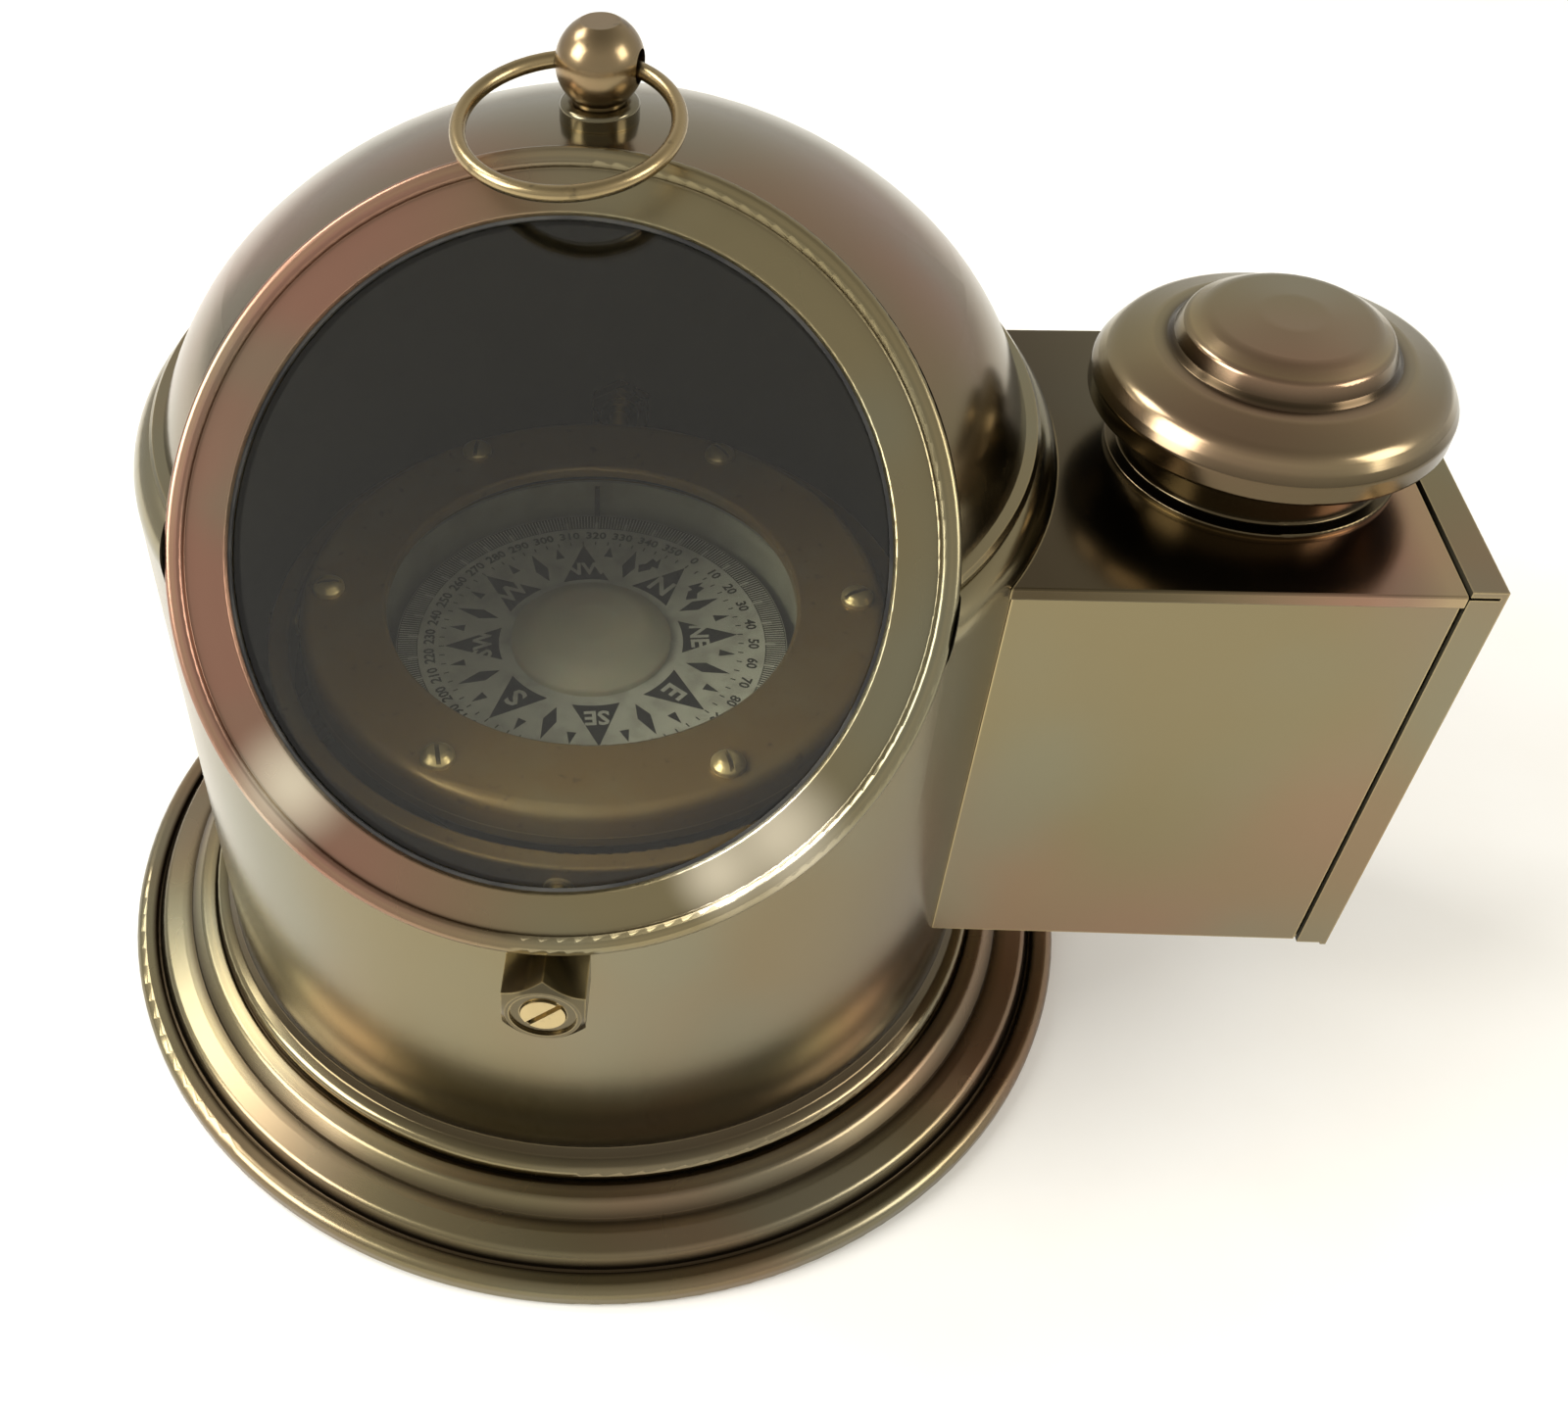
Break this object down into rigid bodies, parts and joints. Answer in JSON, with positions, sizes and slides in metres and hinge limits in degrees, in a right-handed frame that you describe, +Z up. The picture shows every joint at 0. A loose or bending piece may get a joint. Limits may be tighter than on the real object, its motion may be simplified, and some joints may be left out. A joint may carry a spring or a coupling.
{
  "type": "binnacle compass",
  "caption": "Spun bronze deck binnacle: a gimballed liquid compass under a lift-off domed hood with a sloping round window, lit by an oil lamp in a side box with a chimney.",
  "frame": {"origin": "bottom centre of the base, on the drum's axis", "axes": "+Z up, +X towards the lamp box, -Y the side that the window faces"},
  "size_m": [0.2381, 0.2, 0.1896],
  "materials": {
    "bronze": "antique bronze, spun and brushed, semi-bright, darker in grooves",
    "gimbal_brass": "dull bronze",
    "bright_brass": "turned, bright",
    "clear_glass": "clear, polished",
    "black_rubber": "matt",
    "white_enamel": "satin white",
    "black_enamel": "satin black",
    "card_print": "printed white card with a black rose and degree ring",
    "pearl_float": "pearly white",
    "steel": "ground",
    "silvered": "silvered, bright",
    "cotton": "woven flat wick"
  },
  "bodies": {
    "case": {"base_flange": "bronze", "base_plate": "bronze", "base_plate_screws": "bright_brass", "drum_shell": "bronze", "drum_foot_ring": "bronze", "drum_foot_screws": "bright_brass", "pivot_bosses": "bronze", "pivot_lock_nuts": "bright_brass", "pivot_screws": "bright_brass", "lamp_box_shell": "bronze", "lamp_box_top": "bronze", "light_port_frame": "bronze", "light_port_glass": "clear_glass", "chimney_neck": "bronze", "chimney_stays": "bronze", "chimney_cap": "bronze"},
    "hood": {"hood_dome": "bronze", "hood_base_ring": "bronze", "window_frame": "bronze", "window_gasket": "black_rubber", "window_glass": "clear_glass", "window_retainer": "bronze", "window_retainer_screws": "bright_brass", "finial_collar": "bronze", "finial_knob": "bronze", "finial_nut": "bright_brass"},
    "ring": {"pull_ring": "bronze"},
    "gimbal": {"gimbal_ring": "gimbal_brass", "gimbal_bushes": "gimbal_brass"},
    "bowl": {"bowl_shell": "gimbal_brass", "bowl_liner": "white_enamel", "bowl_bezel": "gimbal_brass", "bowl_bezel_screws": "bright_brass", "bowl_gasket": "black_rubber", "bowl_glass": "clear_glass", "bowl_pivot_bosses": "gimbal_brass", "bowl_pivot_pins": "bright_brass", "bowl_weight": "gimbal_brass", "bowl_weight_screw": "gimbal_brass", "bowl_filler_plug": "gimbal_brass", "lubber_line": "black_enamel", "card_pivot_post": "bright_brass"},
    "card": {"compass_card": "card_print", "card_float": "pearl_float", "card_jewel": "steel", "card_magnets": "steel"},
    "lamp": {"lamp_end_cover": "bronze", "lamp_tray": "bronze", "lamp_tank": "bronze", "lamp_filler_cap": "bronze", "lamp_burner": "bronze", "lamp_wick_tube": "bronze", "lamp_reflector": "silvered", "lamp_reflector_stay": "bronze"},
    "wick_turner": {"wick_spindle": "bronze", "wick_knob": "bronze"},
    "wick": {"lamp_wick": "cotton"}
  },
  "joints": [
    {"name": "hood_lift", "type": "slide", "parent": "case", "child": "hood", "axis": [0, 0, 1], "range_m": [0, 0.12]},
    {"name": "ring_swing", "type": "hinge", "parent": "hood", "child": "ring", "pos_m": [0.00092, 0.00795, 0.1836], "axis": [0.9632, -0.2689, 0], "range_deg": [-210, 18]},
    {"name": "gimbal_roll", "type": "hinge", "parent": "case", "child": "gimbal", "pos_m": [0, 0, 0.0746], "axis": [0.0541, 0.9985, 0], "range_deg": [-30, 30]},
    {"name": "bowl_pitch", "type": "hinge", "parent": "gimbal", "child": "bowl", "pos_m": [0, 0, 0.0746], "axis": [0.9985, -0.0541, 0], "range_deg": [-30, 30]},
    {"name": "card_turn", "type": "hinge", "parent": "bowl", "child": "card", "pos_m": [0, 0, 0.0746], "axis": [0, 0, 1], "continuous": true},
    {"name": "lamp_draw", "type": "slide", "parent": "case", "child": "lamp", "axis": [1, 0, 0], "range_m": [0, 0.065]},
    {"name": "wick_knob_turn", "type": "hinge", "parent": "lamp", "child": "wick_turner", "pos_m": [0.1115, -0.006, 0.071], "axis": [0, 1, 0], "range_deg": [0, 130]},
    {"name": "wick_raise", "type": "slide", "parent": "lamp", "child": "wick", "axis": [0, 0, 1], "range_m": [0, 0.0059]}
  ],
  "couplings": [
    {"joint": "wick_knob_turn", "follows": "wick_raise", "rad_per_m": 384.5}
  ]
}
